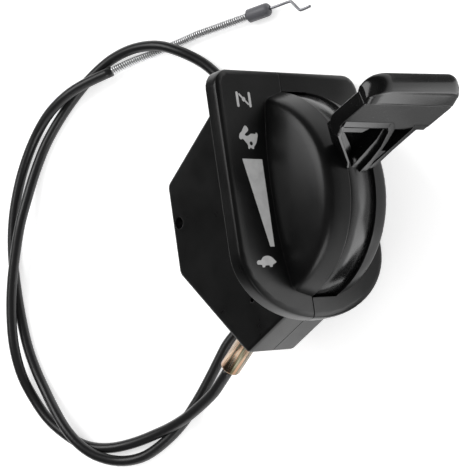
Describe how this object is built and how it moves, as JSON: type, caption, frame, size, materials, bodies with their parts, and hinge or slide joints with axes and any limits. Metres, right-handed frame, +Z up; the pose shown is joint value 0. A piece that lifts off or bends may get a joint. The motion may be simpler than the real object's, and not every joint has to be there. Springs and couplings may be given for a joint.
{
  "type": "throttle cable",
  "caption": "Lever throttle control in a screwed two-shell housing, with a looped sheathed cable that ends in a steel conduit, an end cap and a bent wire hook.",
  "frame": {"origin": "on the floor under the middle of the control's own box, the free cable left out", "axes": "+X from the housing's base towards the lever's grip, +Y along the bezel towards the choke mark, +Z up from the floor that the control lies on"},
  "size_m": [0.2624, 0.1989, 0.0875],
  "materials": {
    "shell_black": "satin moulded plastic with a fine grain",
    "lever_black": "smooth semi-gloss moulded plastic",
    "sheath_black": "satin extruded plastic",
    "cap_grey": "satin moulded plastic",
    "washer_white": "plain low-friction plastic",
    "zinc_yellow": "yellow zinc plating",
    "bright_steel": "bright zinc-plated steel",
    "spring_steel": "drawn spring steel"
  },
  "bodies": {
    "housing": {"left_shell": "shell_black", "right_shell": "shell_black", "pivot_sleeve": "bright_steel", "pivot_bolt": "bright_steel", "pivot_washer": "bright_steel", "pivot_nut": "bright_steel", "friction_washer": "washer_white", "wave_washer": "spring_steel", "housing_screw_1": "bright_steel", "housing_screw_2": "bright_steel", "housing_screw_3": "bright_steel", "cable_ferrule": "zinc_yellow", "cable_sheath": "sheath_black", "cable_conduit": "bright_steel", "conduit_cap": "cap_grey"},
    "lever": {"throttle_lever": "lever_black"},
    "inner_wire": {"control_wire": "spring_steel"},
    "engine_wire": {"wire_end": "spring_steel"}
  },
  "joints": [
    {"name": "lever_hinge", "type": "hinge", "parent": "housing", "child": "lever", "pos_m": [-0.01328, 0.00702, 0.03492], "axis": [0.3586, 0, -0.9335], "range_deg": [-14, 34]},
    {"name": "wire_slide", "type": "slide", "parent": "housing", "child": "inner_wire", "axis": [-0.7675, -0.5693, -0.2948], "range_m": [-0.0066, 0.0159]},
    {"name": "hook_slide", "type": "slide", "parent": "housing", "child": "engine_wire", "axis": [0.9976, 0.0698, 0], "range_m": [-0.0066, 0.0159]}
  ],
  "couplings": [
    {"joint": "wire_slide", "follows": "lever_hinge", "m_per_rad": 0.0265},
    {"joint": "hook_slide", "follows": "lever_hinge", "m_per_rad": 0.0265}
  ]
}
